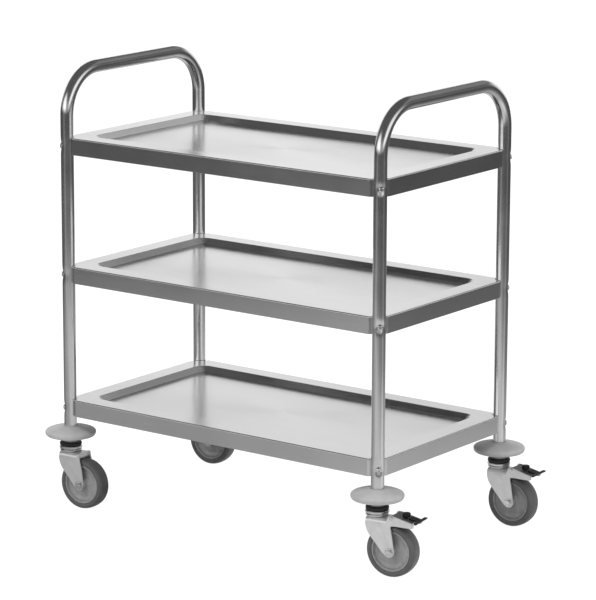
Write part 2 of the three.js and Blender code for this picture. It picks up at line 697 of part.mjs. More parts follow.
function addCastor({ name, sideX, sideY, braked, turn }) {
  const castor = new THREE.Group();
  castor.position.set((sideX * POST_SPACING_X) / 2, (sideY * POST_SPACING_Y) / 2, 0);
  posts.add(castor);
  addMesh(castor, `buffer_${name}`, buffer(), greyPlastic());
  addMesh(castor, `castor_${name}_stem`, stem(), zinc());
  addMesh(castor, `castor_${name}_head`, head(), zinc());
  const swivel = new THREE.Group();
  swivel.rotation.z = THREE.MathUtils.degToRad(turn);
  castor.add(swivel);
  addMesh(swivel, `castor_${name}_fork`, fork(braked), zinc());
  const wheel = new THREE.Group();
  wheel.position.set(TRAIL, 0, WHEEL_RADIUS);
  swivel.add(wheel);
  addMesh(wheel, `castor_${name}_axle_bolt`, axleBolt(), zinc());
  addMesh(wheel, `castor_${name}_axle_nut`, axleNut(), zinc());
  addMesh(wheel, `castor_${name}_wheel`, wheelCentre(), wheelPlastic());
  addMesh(wheel, `castor_${name}_tyre`, tyre(), greyRubber());
  if (braked) {
    addBrake(swivel, name);
  }
}

// The origin goes under the middle of the footprint, and the pedals reach further out than the buffers.
function centreFootprint() {
  trolley.updateMatrixWorld(true);
  const footprint = new THREE.Box3().setFromObject(trolley, true);
  posts.position.x = -(footprint.min.x + footprint.max.x) / 2;
}

addFrames();
addShelves();
addScrews();
CORNERS.forEach(addCastor);
centreFootprint();

export default trolley;
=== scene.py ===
import json
import math

import bmesh
import bpy
from mathutils import Matrix, Vector

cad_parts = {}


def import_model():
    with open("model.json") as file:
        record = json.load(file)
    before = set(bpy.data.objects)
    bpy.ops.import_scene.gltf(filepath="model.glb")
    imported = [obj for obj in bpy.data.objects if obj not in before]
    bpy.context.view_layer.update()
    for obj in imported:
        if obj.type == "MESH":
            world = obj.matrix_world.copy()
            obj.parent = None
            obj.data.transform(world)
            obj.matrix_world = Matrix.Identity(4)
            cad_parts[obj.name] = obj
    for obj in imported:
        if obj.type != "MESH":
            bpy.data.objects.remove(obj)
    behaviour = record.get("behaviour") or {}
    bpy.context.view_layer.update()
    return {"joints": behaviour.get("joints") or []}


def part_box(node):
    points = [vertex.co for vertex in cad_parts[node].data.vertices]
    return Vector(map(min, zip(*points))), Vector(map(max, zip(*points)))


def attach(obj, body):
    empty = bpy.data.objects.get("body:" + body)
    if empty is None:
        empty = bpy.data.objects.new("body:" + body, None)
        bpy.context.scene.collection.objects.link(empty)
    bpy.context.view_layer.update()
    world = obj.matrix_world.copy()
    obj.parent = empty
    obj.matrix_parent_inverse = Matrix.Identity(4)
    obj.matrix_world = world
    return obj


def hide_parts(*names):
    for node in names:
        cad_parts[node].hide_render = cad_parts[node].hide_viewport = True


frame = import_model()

MM = 0.001
CORNERS = ("fl", "fr", "rr", "rl")
BRAKED = ("fr", "rr")
LEVELS = ("top", "middle", "bottom")

# ---- dimensions shared with the CAD, in millimetres -------------------------------------------

TUBE_RADIUS = 12.5
BEND_RADIUS = 88.0
SHEET = 1.5
SKIRT_HEIGHT = 33.0
SKIRT_BEYOND_POST = 7.0
RIM_WIDTH = 40.0
TRAY_DEPTH = 11.0
TRAY_WALL_RUN = 10.5
TRAY_CORNER = 25.0
CORNER_CUT = 8.0
FIT_GAP = 0.3

WHEEL_RADIUS = 50.0
TYRE_BORE = 38.8
RIM_RADIUS = 38.5
TRAIL = 33.5
AXLE_RADIUS = 4.0
STEM_RADIUS = 6.0
BUFFER_RADIUS = 50.0
BUFFER_MID = 151.0
HEAD_TOP = 131.0
HEAD_BOTTOM = 113.4
CROWN_TOP = 113.0
FORK_SHEET = 2.5
FORK_HALF = 20.0
CROWN_FRONT = -15.0
CROWN_REAR = 31.0

LEVER_PIN = (38.0, 115.5)
KNUCKLE = 4.0
LEVER_END = 80.0
LEVER_DROP = 8.0
LEVER_SHEET = 2.0
LEVER_HALF = 16.8
BRAKE_SCREW_X = 60.0
KNOB_RADIUS = 7.5
KNOB_HEIGHT = 8.0
BRAKE_FOOT = 99.7
PEDAL_INNER = 85.0
PEDAL_OUTER = 92.0
PEDAL_LIP = 4.0
ARM_END = 83.0
ARM_END_RADIUS = 5.0
ARM_BOTTOM = 101.0

# Fuller than the CAD: the crown's pressed shoulders are 6 there, the pedal's sheet 2.5.
SHOULDER = 9.0
PEDAL_SHEET = 3.2

# Holes in the fork, the axle nut and the brake strip, as radii.
STEM_HOLE = 6.4
AXLE_HOLE = 4.3
PIN_HOLE = 2.3
SCREW_HOLE = 3.3


# ---- small tools ------------------------------------------------------------------------------

def centre(node):
    """Middle of a CAD node's box, in metres."""
    lo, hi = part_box(node)
    return (lo + hi) / 2


def fillet(points, radii, steps=5, closed=False):
    """A 2-D polyline with its corners rounded; radii has one radius for every point."""
    out = []
    count = len(points)
    for i, (point, radius) in enumerate(zip(points, radii)):
        p = Vector(point)
        at_end = not closed and i in (0, count - 1)
        if at_end or radius <= 0:
            out.append(tuple(p))
            continue
        a = (Vector(points[i - 1]) - p).normalized()
        b = (Vector(points[(i + 1) % count]) - p).normalized()
        half = a.angle(b) / 2
        tangent = radius / math.tan(half)
        middle = p + (a + b).normalized() * (radius / math.sin(half))
        start = p + a * tangent - middle
        turn = start.angle_signed(p + b * tangent - middle)
        for k in range(steps + 1):
            angle = -turn * k / steps
            c, s = math.cos(angle), math.sin(angle)
            out.append((middle.x + start.x * c - start.y * s, middle.y + start.x * s + start.y * c))
    return out


def arc(x, z, radius, start, end, steps):
    """Points on a circle between two angles in degrees."""
    angles = [math.radians(start + (end - start) * i / steps) for i in range(steps + 1)]
    return [(x + radius * math.cos(a), z + radius * math.sin(a)) for a in angles]


CURVE_STEPS = 5


def smooth_curve(points):
    """A Catmull-Rom curve through 2-D points."""
    ends = [points[0], *points, points[-1]]
    out = []
    for i in range(1, len(ends) - 2):
        p0, p1, p2, p3 = (Vector(q) for q in ends[i - 1:i + 3])
        for k in range(CURVE_STEPS):
            t = k / CURVE_STEPS
            q = p1 * 2 + (p2 - p0) * t + (p0 * 2 - p1 * 5 + p2 * 4 - p3) * t * t
            q += (p1 * 3 - p0 - p2 * 3 + p3) * t ** 3
            out.append(tuple(q / 2))
    out.append(tuple(points[-1]))
    return out


def hexagon(across_corners, angle):
    """Radius of a hexagon at an angle."""
    turn = angle % (math.pi / 3) - math.pi / 6
    return across_corners * math.cos(math.pi / 6) / math.cos(turn)


def lathe(profile, segments, axis="Z", closed=True):
    """A turned body from (radius, along[, "hex"]) points, as vertices and faces."""
    verts, rings = [], []
    for entry in profile:
        radius, along = entry[:2]
        if radius < 1e-6:
            rings.append([len(verts)] * segments)
            verts.append((0, 0, along) if axis == "Z" else (0, along, 0))
            continue
        rings.append(list(range(len(verts), len(verts) + segments)))
        for i in range(segments):
            angle = 2 * math.pi * i / segments
            r = hexagon(radius, angle) if len(entry) == 3 else radius
            u, v = r * math.cos(angle), r * math.sin(angle)
            verts.append((u, v, along) if axis == "Z" else (u, along, v))
    pairs = list(zip(rings, rings[1:]))
    if closed:
        pairs.append((rings[-1], rings[0]))
    faces = []
    for a, b in pairs:
        for i in range(segments):
            j = (i + 1) % segments
            face = list(dict.fromkeys((a[i], a[j], b[j], b[i])))
            if len(face) > 2:
                faces.append(face)
    return verts, faces


def drill(radius, start, end, axis="Z", segments=32):
    """A plain cylinder that cuts a hole."""
    return lathe([(0, start), (radius, start), (radius, end), (0, end)], segments, axis, closed=False)


def bridge(loops):
    """Faces between closed loops of equal length; the first and last loop are filled."""
    size = len(loops[0])
    verts = [v for loop in loops for v in loop]
    faces = []
    for k in range(len(loops) - 1):
        for i in range(size):
            j = (i + 1) % size
            faces.append((k * size + i, k * size + j, (k + 1) * size + j, (k + 1) * size + i))
    faces.append(tuple(range(size)))
    faces.append(tuple(range((len(loops) - 1) * size, len(loops) * size)))
    return verts, faces


def shrink(outline, amount):
    """A closed outline moved inwards; the outline runs anticlockwise."""
    out = []
    count = len(outline)
    for i in range(count):
        before = (Vector(outline[i]) - Vector(outline[i - 1])).normalized()
        after = (Vector(outline[(i + 1) % count]) - Vector(outline[i])).normalized()
        n = Vector((-before.y, before.x)) + Vector((-after.y, after.x))
        n = n / max(0.6, n.length_squared / 2)
        out.append((outline[i][0] + n.x * amount, outline[i][1] + n.y * amount))
    return out


def clean_outline(outline):
    """The outline without repeated points, running anticlockwise."""
    points = []
    for p in outline:
        if not points or (Vector(p) - Vector(points[-1])).length > 0.02:
            points.append(p)
    if (Vector(points[0]) - Vector(points[-1])).length < 0.02:
        points.pop()
    area = sum(points[i - 1][0] * points[i][1] - points[i][0] * points[i - 1][1] for i in range(len(points)))
    return points if area > 0 else points[::-1]


def plate(outline, y0, y1, edge=0.5, steps=3, plane="XZ"):
    """An outline given thickness between y0 and y1, with its edges rounded."""
    points = clean_outline(outline)
    loops = []
    for side, y in ((1, y0), (-1, y1)):
        rings = []
        for k in range(steps + 1):
            angle = math.pi / 2 * k / steps
            inset, rise = edge * (1 - math.sin(angle)), edge * (1 - math.cos(angle))
            rings.append([(p[0], y + side * rise, p[1]) for p in shrink(points, inset)])
        loops += rings if side > 0 else rings[::-1]
    if plane == "YZ":
        loops = [[(y, x, z) for x, y, z in loop] for loop in loops]
    return bridge(loops)


def mesh_of(name, shapes):
    """One mesh from (vertices, faces) pairs in millimetres."""
    verts, faces = [], []
    for shape_verts, shape_faces in shapes:
        base = len(verts)
        verts += [Vector(v) * MM for v in shape_verts]
        faces += [[base + i for i in face] for face in shape_faces]
    mesh = bpy.data.meshes.new(name)
    mesh.from_pydata(verts, [], faces)
    work = bmesh.new()
    work.from_mesh(mesh)
    bmesh.ops.remove_doubles(work, verts=work.verts, dist=1e-7)
    bmesh.ops.dissolve_degenerate(work, edges=work.edges, dist=1e-8)
    bmesh.ops.recalc_face_normals(work, faces=work.faces)
    work.to_mesh(mesh)
    work.free()
    return mesh


def boolean(shape, cutters, operation):
    """A mesh cut by, or joined with, other shapes."""
    base = bpy.data.objects.new("base", mesh_of("base", [shape]))
    bpy.context.scene.collection.objects.link(base)
    for cutter in cutters:
        tool = bpy.data.objects.new("tool", mesh_of("tool", [cutter]))
        bpy.context.scene.collection.objects.link(tool)
        step = base.modifiers.new("step", "BOOLEAN")
        step.operation, step.solver, step.object = operation, "EXACT", tool
        bpy.context.view_layer.update()
        made = bpy.data.meshes.new_from_object(base.evaluated_get(bpy.context.evaluated_depsgraph_get()))
        base.modifiers.clear()
        base.data = made
        bpy.data.objects.remove(tool)
    verts = [tuple(v.co / MM) for v in base.data.vertices]
    faces = [tuple(p.vertices) for p in base.data.polygons]
    bpy.data.objects.remove(base)
    return verts, faces


def piece(name, shapes, material, body, stands_for=(), place=None, crease=32):
    """A finished piece of the trolley, riding on a CAD body."""
    mesh = mesh_of(name, shapes if isinstance(shapes, list) else [shapes])
    mesh.materials.append(material)
    mesh.polygons.foreach_set("use_smooth", [True] * len(mesh.polygons))
    mesh.set_sharp_from_angle(angle=math.radians(crease))
    obj = bpy.data.objects.new(name, mesh)
    bpy.context.scene.collection.objects.link(obj)
    if place is not None:
        obj.matrix_world = place
    even = obj.modifiers.new("even_normals", "WEIGHTED_NORMAL")
    even.keep_sharp = True
    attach(obj, body)
    if stands_for:
        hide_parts(*stands_for)


# ---- materials --------------------------------------------------------------------------------

class Nodes:
    """Short hand for a material's node tree."""

    def __init__(self, name):
        self.material = bpy.data.materials.new(name)
        self.material.use_nodes = True
        self.tree = self.material.node_tree
        self.tree.nodes.clear()
        self.coords = self.add("ShaderNodeTexCoord").outputs["Object"]

    def add(self, kind, values=None, **settings):
        return add_node(self.tree, kind, values, **settings)

    def noise(self, scale, detail=2.0, roughness=0.5):
        """Noise over the piece; scale is per metre, one number or one for each axis."""
        if isinstance(scale, tuple):
            stretched = self.add("ShaderNodeMapping", {"Vector": self.coords, "Scale": scale}).outputs[0]
            scale = 1.0
        else:
            stretched = self.coords
        values = {"Vector": stretched, "Scale": scale, "Detail": detail, "Roughness": roughness}
        return self.add("ShaderNodeTexNoise", values).outputs[0]

    def spread(self, value, low, high, start=0.3, end=0.7):
        """The part of value between start and end spread over low to high."""
        values = {"Value": value, "From Min": start, "From Max": end, "To Min": low, "To Max": high}
        return self.add("ShaderNodeMapRange", values).outputs[0]

    def math(self, operation, a, b):
        return op(self.tree, operation, a, b)

    def mix(self, factor, a, b):
        values = {"Factor": factor, 6: a, 7: b}
        return self.add("ShaderNodeMix", values, data_type="RGBA").outputs[2]

    def edges(self, radius, sharpness=6.0):
        """1 along edges and corners, 0 on open faces."""
        round_normal = self.add("ShaderNodeBevel", {"Radius": radius}).outputs[0]
        true_normal = self.add("ShaderNodeNewGeometry").outputs["Normal"]
        away = self.math("SUBTRACT", 1.0, dot(self.tree, round_normal, true_normal))
        return self.math("MINIMUM", self.math("MULTIPLY", away, sharpness), 1.0)

    def across_grain(self, start, end):
        """1 on walls that slope up across the trolley's length, 0 on the flats, skirts and long walls."""
        normal = self.add("ShaderNodeNewGeometry").outputs["Normal"]
        parts = self.add("ShaderNodeSeparateXYZ", {0: normal}).outputs
        leaning = self.spread(self.math("ABSOLUTE", parts[0], 0.0), 0.0, 1.0, start, end)
        upward = self.spread(parts[2], 0.0, 1.0, 0.10, 0.25)
        return self.math("MULTIPLY", leaning, upward)

    def bump(self, height, distance, strength=1.0, normal=None):
        values = {"Height": height, "Distance": distance, "Strength": strength}
        if normal is not None:
            values["Normal"] = normal
        return self.add("ShaderNodeBump", values).outputs[0]

    def finish(self, values):
        shader = self.add("ShaderNodeBsdfPrincipled", values)
        output = self.add("ShaderNodeOutputMaterial")
        self.tree.links.new(shader.outputs[0], output.inputs["Surface"])
        return self.material


def add_node(tree, kind, values=None, **settings):
    """A node with its settings and input values; a value that is another node's output is linked."""
    node = tree.nodes.new(kind)
    for key, value in settings.items():
        setattr(node, key, value)
    for key, value in (values or {}).items():
        if isinstance(value, bpy.types.NodeSocket):
            tree.links.new(value, node.inputs[key])
        else:
            node.inputs[key].default_value = value
    return node


def smoothstep(tree, value, start, end, low=0.0, high=1.0):
    values = {"Value": value, "From Min": start, "From Max": end, "To Min": low, "To Max": high}
    return add_node(tree, "ShaderNodeMapRange", values, interpolation_type="SMOOTHSTEP").outputs[0]


def op(tree, operation, a, b):
    return add_node(tree, "ShaderNodeMath", {0: a, 1: b}, operation=operation).outputs[0]


def dot(tree, a, b):
    return add_node(tree, "ShaderNodeVectorMath", {0: a, 1: b}, operation="DOT_PRODUCT").outputs["Value"]


def times(tree, a, b):
    return op(tree, "MULTIPLY", a, b)


def plus(tree, a, b):
    return op(tree, "ADD", a, b)


def grey(value, warmth=0.0):
    return (value * (1 + warmth), value, value * (1 - warmth), 1.0)


def tube_steel():
    """Polished tube: fine marks round the bar, faint smears."""
    n = Nodes("tube_steel")
    marks = n.noise((500.0, 500.0, 5200.0), 2.0)
    smears = n.noise(14.0, 3.0)
    tone = n.mix(n.spread(smears, 0.0, 1.0), grey(0.70), grey(0.79))
    rough = n.math("ADD", n.spread(smears, 0.10, 0.17), n.spread(marks, 0.0, 0.05))
    ripple = n.bump(n.noise(22.0, 1.0), 0.0006, 0.12)
    return n.finish({
        "Base Color": tone, "Metallic": 1.0, "Roughness": rough,
        "Normal": n.bump(marks, 0.00001, 0.35, ripple),
    })


def sheet_steel():
    """Satin sheet: grain along the trolley, soft clouds, slight unevenness of pressed sheet.

    The end walls were drawn across the grain, so they scatter more and look paler.
    """
    n = Nodes("sheet_steel")
    grain = n.noise((14.0, 2600.0, 2600.0), 3.0, 0.6)
    long_marks = n.noise((2.5, 420.0, 420.0), 2.0)
    clouds = n.noise(7.0, 3.0)
    tone = n.mix(n.spread(clouds, 0.0, 1.0), grey(0.69), grey(0.75))
    tone = n.mix(n.spread(long_marks, 0.0, 0.35, 0.5, 0.75), tone, grey(0.62))
    rough = n.math("ADD", n.spread(grain, 0.15, 0.23), n.spread(clouds, 0.0, 0.05))
    drawn = n.across_grain(0.30, 0.60)
    rough = n.math("ADD", rough, n.math("MULTIPLY", drawn, 0.10))
    metallic = n.math("SUBTRACT", 1.0, n.math("MULTIPLY", drawn, 0.24))
    dents = n.bump(n.noise(5.0, 1.0), 0.004, 0.06)
    brushed = n.bump(grain, 0.00002, 0.25, dents)
    return n.finish({
        "Base Color": tone, "Metallic": metallic, "Roughness": rough, "Anisotropic": 0.35,
        "Normal": brushed,
    })


def zinc_plate(name, low, high, rubbed):
    """Zinc plated pressings: faint spangle, clouds of tone, bright rubbed edges."""
    n = Nodes(name)
    cells = n.add("ShaderNodeTexVoronoi", {"Vector": n.coords, "Scale": 330.0}).outputs["Color"]
    spangle = n.add("ShaderNodeSeparateColor", {0: cells}).outputs[0]
    clouds = n.noise(60.0, 3.0)
    tone = n.mix(n.spread(clouds, 0.0, 1.0), grey(low, 0.004), grey(high, 0.002))
    tone = n.mix(n.edges(0.0008), tone, grey(rubbed))
    rough = n.math("ADD", n.spread(spangle, 0.30, 0.36, 0.0, 1.0), n.spread(clouds, 0.0, 0.08))
    return n.finish({
        "Base Color": tone, "Metallic": 0.85, "Roughness": rough,
        "Normal": n.bump(n.noise(900.0, 2.0), 0.00002, 0.3),
    })


def bright_zinc():
    """Turned and plated hardware: near mirror, fine turning rings."""
    n = Nodes("bright_zinc")
    rings = n.noise((300.0, 300.0, 4200.0), 2.0)
    specks = n.noise(420.0, 3.0)
    tone = n.mix(n.spread(specks, 0.0, 1.0), grey(0.66), grey(0.84))
    return n.finish({
        "Base Color": tone, "Metallic": 1.0, "Roughness": n.spread(rings, 0.12, 0.24),
        "Normal": n.bump(specks, 0.00004, 0.35),
    })


def moulded(name, low, high, rough, worn, texture=1400.0, gloss=0.5):
    """Moulded plastic or rubber: fine moulding texture, clouds of tone, edges rubbed lighter."""
    n = Nodes(name)
    clouds = n.noise(45.0, 4.0)
    tone = n.mix(n.spread(clouds, 0.0, 1.0), grey(low), grey(high))
    rubbed = n.math("MULTIPLY", n.edges(0.0012), n.spread(n.noise(240.0, 3.0), 0.2, 1.0))
    tone = n.mix(rubbed, tone, grey(worn))
    skin = n.noise(texture, 2.0)
    roughness = n.math("ADD", n.spread(clouds, rough - 0.05, rough + 0.05), n.spread(skin, 0.0, 0.05))
    return n.finish({
        "Base Color": tone, "Roughness": roughness, "Specular IOR Level": gloss,
        "Normal": n.bump(skin, 0.00006, 0.35),
    })


TUBE = tube_steel()
SHEET_STEEL = sheet_steel()
ZINC = zinc_plate("zinc_plate", 0.70, 0.80, 0.84)
# Painted shade: the brake strips' zinc is darkened far below the fork's plating to stand in for the shade
# that lies on them.
ZINC_PAINTED_SHADE = zinc_plate("zinc_painted_shade", 0.14, 0.24, 0.60)
BRIGHT = bright_zinc()
BUFFER_GREY = moulded("buffer_grey", 0.27, 0.31, 0.38, worn=0.36)
WHEEL_GREY = moulded("wheel_grey", 0.16, 0.23, 0.16, worn=0.52, gloss=0.62)
TYRE_GREY = moulded("tyre_grey", 0.055, 0.075, 0.34, texture=900.0, worn=0.15)
BLACK = moulded("black_coat", 0.006, 0.011, 0.45, worn=0.04, gloss=0.22)
DUST_BLACK = moulded("dust_black", 0.010, 0.018, 0.5, worn=0.04, gloss=0.3)


# ---- end frames -------------------------------------------------------------------------------

POST = {c: centre(f"buffer_{c}").xy / MM for c in CORNERS}
SHELF_TOP = {level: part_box(f"shelf_{level}")[1].z / MM for level in LEVELS}
OUTWARD = {c: Vector((-1 if c[1] == "l" else 1, -1 if c[0] == "f" else 1)).normalized() for c in CORNERS}

DIMPLE_DEPTH = 2.0
DIMPLE_REACH = 9.5

POST_STEPS = 24
BEND_STEPS = 24
GRIP_STEPS = 12
ROUND_TUBE = 56
DIMPLE_STEP = 1.5


def dimple(point, post, outward, shelf_top):
    """How far the tube wall is pressed in at a point by the screw through it."""
    seat = Vector((*(post + outward * TUBE_RADIUS), shelf_top - SKIRT_HEIGHT / 2))
    return DIMPLE_DEPTH * math.exp(-((point - seat).length / DIMPLE_REACH) ** 2)


def frame_stations(x, half_y, foot, top):
    """Centre line of an end frame as (point, tangent) pairs, closer together round the shelf screws."""
    bend_z = top - BEND_RADIUS
    bend_y = half_y - BEND_RADIUS
    heights = {foot, bend_z}
    heights |= {foot + (bend_z - foot) * i / POST_STEPS for i in range(POST_STEPS + 1)}
    for level in LEVELS:
        seat = SHELF_TOP[level] - SKIRT_HEIGHT / 2
        heights |= {seat + DIMPLE_STEP * k for k in range(-14, 15)}
    rising = [z for z in sorted(heights) if foot <= z <= bend_z]
    stations = [(Vector((x, -half_y, z)), Vector((0, 0, 1))) for z in rising]
    for side in (-1, 1):
        for i in range(1, BEND_STEPS + 1):
            turn = math.pi / 2 * (i if side < 0 else BEND_STEPS - i) / BEND_STEPS
            y = side * (bend_y + BEND_RADIUS * math.cos(turn))
            point = Vector((x, y, bend_z + BEND_RADIUS * math.sin(turn)))
            stations.append((point, Vector((0, math.sin(turn), -side * math.cos(turn)))))
        if side < 0:
            for i in range(1, GRIP_STEPS):
                y = -bend_y + 2 * bend_y * i / GRIP_STEPS
                stations.append((Vector((x, y, top)), Vector((0, 1, 0))))
            stations.append((Vector((x, bend_y, top)), Vector((0, 1, 0))))
    stations += [(Vector((x, half_y, z)), Vector((0, 0, -1))) for z in rising[-2::-1]]
    return stations


def end_frame(name, corners):
    """A bent tube, dimpled where the shelf screws pull it against the shelves."""
    lo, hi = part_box(name)
    x = (lo.x + hi.x) / 2 / MM
    half_y = (hi.y - lo.y) / 2 / MM - TUBE_RADIUS
    stations = frame_stations(x, half_y, lo.z / MM, hi.z / MM - TUBE_RADIUS)
    loops = []
    for point, tangent in stations:
        side = Vector((1, 0, 0))
        normal = tangent.cross(side)
        corner = corners[0] if point.y < 0 else corners[1]
        loop = []
        for i in range(ROUND_TUBE):
            angle = 2 * math.pi * i / ROUND_TUBE
            away = side * math.cos(angle) + normal * math.sin(angle)
            p = point + away * TUBE_RADIUS
            if abs(tangent.z) > 0.99:
                press = sum(dimple(p, POST[corner], OUTWARD[corner], SHELF_TOP[level]) for level in LEVELS)
                p -= away * press
            loop.append(tuple(p))
        loops.append(loop)
    piece(f"{name}_tube", bridge(loops), TUBE, "trolley_frame", [name])


# ---- shelves ----------------------------------------------------------------------------------

SADDLE_STEPS = 14


def outer_corner(inset):
    """Corner outline from the post: (dx, dy) with outwards positive, saddle hollow and 45 degree cuts."""
    side = SKIRT_BEYOND_POST - inset
    cut = CORNER_CUT + inset
    saddle = TUBE_RADIUS + FIT_GAP + inset
    half_angle = math.acos(cut / saddle)
    root = math.sqrt(2)

    def place(t, s):
        return ((s + t) / root, (s - t) / root)

    points = [place(-cut - root * side, -cut)]
    for i in range(SADDLE_STEPS + 1):
        angle = half_angle * (2 * i / SADDLE_STEPS - 1)
        points.append(place(saddle * math.sin(angle), -saddle * math.cos(angle)))
    points.append(place(cut + root * side, -cut))
    bend = max(0.6, 2.0 - inset)
    before = (points[0][0] - 40, points[0][1])
    after = (points[-1][0], points[-1][1] - 40)
    radii = [0, bend, 0.5, *[0] * (SADDLE_STEPS - 1), 0.5, bend, 0]
    return fillet([before, *points, after], radii, 3)[1:-1]


CORNER_ORDER = (("rr", True), ("rl", False), ("fl", True), ("fr", False))


def outer_loop(inset, z):
    points = []
    for corner, backwards in CORNER_ORDER:
        offsets = outer_corner(inset)
        sx, sy = (math.copysign(1, v) for v in OUTWARD[corner])
        for dx, dy in (offsets[::-1] if backwards else offsets):
            points.append((POST[corner].x + sx * dx, POST[corner].y + sy * dy, z))
    return points


def tray_loop(grow, z):
    """The tray's rounded outline grown outwards, with as many points as the outer outline."""
    steps = len(outer_corner(0)) - 1
    points = []
    for i, (corner, _) in enumerate(CORNER_ORDER):
        sx, sy = (math.copysign(1, v) for v in OUTWARD[corner])
        inwards = RIM_WIDTH + TRAY_CORNER - SKIRT_BEYOND_POST
        cx, cy = POST[corner].x - sx * inwards, POST[corner].y - sy * inwards
        for a, b in arc(cx, cy, TRAY_CORNER + grow, 90 * i, 90 * i + 90, steps):
            points.append((a, b, z))
    return points


def shelf_shape(top):
    """A pressed shelf: tray floor, wall, rim and skirt above, and the same sheet from below."""
    tray_floor = -TRAY_DEPTH
    floor_edge = -TRAY_WALL_RUN
    above = fillet([(floor_edge - 8, tray_floor), (floor_edge, tray_floor), (0, 0), (6.5, 0)], [0, 5, 3, 0])
    over = fillet(
        [(7, 0), (0, 0), (0, -SKIRT_HEIGHT), (SHEET, -SKIRT_HEIGHT), (SHEET, -SHEET), (7, -SHEET)],
        [0, 2.4, 0.7, 0.6, 0.9, 0], 5)
    under = tray_floor - SHEET
    below = fillet(
        [(6.5, -SHEET), (SHEET, -SHEET), (floor_edge + SHEET, under), (floor_edge - 8, under)],
        [0, 2, 6, 0])
    loops = [tray_loop(g, top + z) for g, z in above]
    loops += [outer_loop(inset, top + z) for inset, z in over]
    loops += [tray_loop(g, top + z) for g, z in below]
    return bridge(loops)


def diagonal_place(corner, z):
    """Matrix that puts local +Y outwards through a corner, in metres."""
    out = OUTWARD[corner]
    turn = math.atan2(out.y, out.x) - math.pi / 2
    spot = Vector((*POST[corner], z)) * MM
    return Matrix.Translation(spot) @ Matrix.Rotation(turn, 4, "Z")


def shelves():
    for level in LEVELS:
        node = f"shelf_{level}"
        sheet = shelf_shape(SHELF_TOP[level])
        piece(f"{node}_sheet", sheet, SHEET_STEEL, "trolley_frame", [node])
        for corner in CORNERS:
            place = diagonal_place(corner, SHELF_TOP[level] - SKIRT_HEIGHT / 2)
            nut = lathe([(3.3, -22), (5.4, -22), (6, -21.4, "hex"), (6, -14.4, "hex"), (3.3, -14.4)], 24, "Y")
            piece(f"{node}_nut_{corner}", nut, ZINC, "trolley_frame", place=place)
            bead = weld_bead()
            spots = Matrix.Translation((0, 0, SKIRT_HEIGHT / 2 * MM))
            piece(f"{node}_weld_{corner}", bead, BRIGHT, "trolley_frame", place=place @ spots)


def weld_bead():
    """Two small tack welds where the rim's corner meets the post."""
    profile = [(0, 1.1), (1.1, 0.9), (1.8, 0.2), (1.9, -0.6), (1.2, -1.4), (0, -1.5)]
    shapes = []
    for side in (-1, 1):
        x, y = side * 9.6, -9.2
        verts, faces = lathe(profile, 14, closed=False)
        shapes.append(([(vx * 1.25 + x, vy + y, vz) for vx, vy, vz in verts], faces))
    return shapes


def shelf_screw():
    """Button head screw with a hexagon socket."""
    seat = TUBE_RADIUS - DIMPLE_DEPTH + 0.2
    crown = seat + 2.9
    head = [
        (0, crown - 2.2), (2.3, crown - 2.2, "hex"), (2.3, crown - 0.2, "hex"), (2.75, crown),
        (3.6, crown - 0.15), (4.6, crown - 0.75), (5.3, crown - 1.6), (5.5, crown - 2.2), (5.5, seat + 0.3),
        (5.2, seat), (3, seat), (3, -22.6), (2.4, -23), (0, -23),
    ]
    return lathe(head, 48, "Y", closed=False)


def screws():
    for level in LEVELS:
        for corner in CORNERS:
            node = f"screw_{level}_{corner}"
            place = diagonal_place(corner, SHELF_TOP[level] - SKIRT_HEIGHT / 2)
            piece(f"{node}_button", shelf_screw(), BRIGHT, "trolley_frame", [node], place)


# ---- castors ----------------------------------------------------------------------------------

JOINT = {j["name"]: j for j in frame["joints"]}


def castor_place(corner, turned):
    """Matrix of a castor: origin on the floor under its king pin, +X towards its wheel when turned."""
    spot = Vector(JOINT[f"swivel_{corner}"]["pos_m"])
    axle = Vector(JOINT[f"roll_{corner}"]["axis"])
    turn = math.atan2(-axle.x, axle.y) if turned else 0.0
    return Matrix.Translation((spot.x, spot.y, 0)) @ Matrix.Rotation(turn, 4, "Z")


def buffer_shape():
    """Domed disc with a rolled rim, a socket for the tube foot and a ribbed neck."""
    mid = BUFFER_MID
    socket = TUBE_RADIUS + FIT_GAP
    profile = [
        (STEM_RADIUS + 0.3, HEAD_TOP), (13.4, HEAD_TOP), (14, HEAD_TOP + 0.6), (14, 136.4), (13.2, 137),
        (13.2, 137.8), (14, 138.4), (14, 141.2), (15.4, 142.2), (38, 142.6), (44, 143),
        (47.4, 144.2), (BUFFER_RADIUS - 0.9, 146.4), (BUFFER_RADIUS, mid - 1.6), (BUFFER_RADIUS, mid + 0.2),
        (BUFFER_RADIUS - 0.5, mid + 1.9), (BUFFER_RADIUS - 1.8, mid + 3.4), (46, mid + 4.6), (43, mid + 5.7),
        (38, mid + 7.2), (30, mid + 9.2), (23, mid + 10.7), (17.5, mid + 12), (15.4, 163.4), (14.4, 163.9),
        (socket + 0.5, 163.9), (socket, 163.4), (socket, 149.7), (STEM_RADIUS + 0.3, 149.7),
    ]
    return lathe(profile, 112)


def head_shapes():
    """Fixed head: black dust ring, bright housing with a rolled edge, and the race ring under it."""
    bore = STEM_RADIUS + 0.3
    dust = [
        (bore, 131), (19.2, 131), (20.6, 130.6), (21.6, 129.4), (22, 127.6), (21.6, 125.8), (20.8, 124.4),
        (19, 123.9), (bore, 123.9),
    ]
    housing = [
        (bore, 123.8), (19.5, 123.8), (21.4, 123.4), (22.4, 122.2), (22.6, 120.6), (22.2, 119.2),
        (21.2, 118.4), (19.8, 118.1), (bore, 118.1),
    ]
    race = [
        (bore, 118), (19.2, 118), (19.2, 117.5), (20.9, 117.1), (21.6, 116.2), (21.6, 115), (20.8, 114),
        (19.4, HEAD_BOTTOM), (bore, HEAD_BOTTOM),
    ]
    return {"dust_ring": (dust, DUST_BLACK), "housing": (housing, BRIGHT), "race": (race, BRIGHT)}


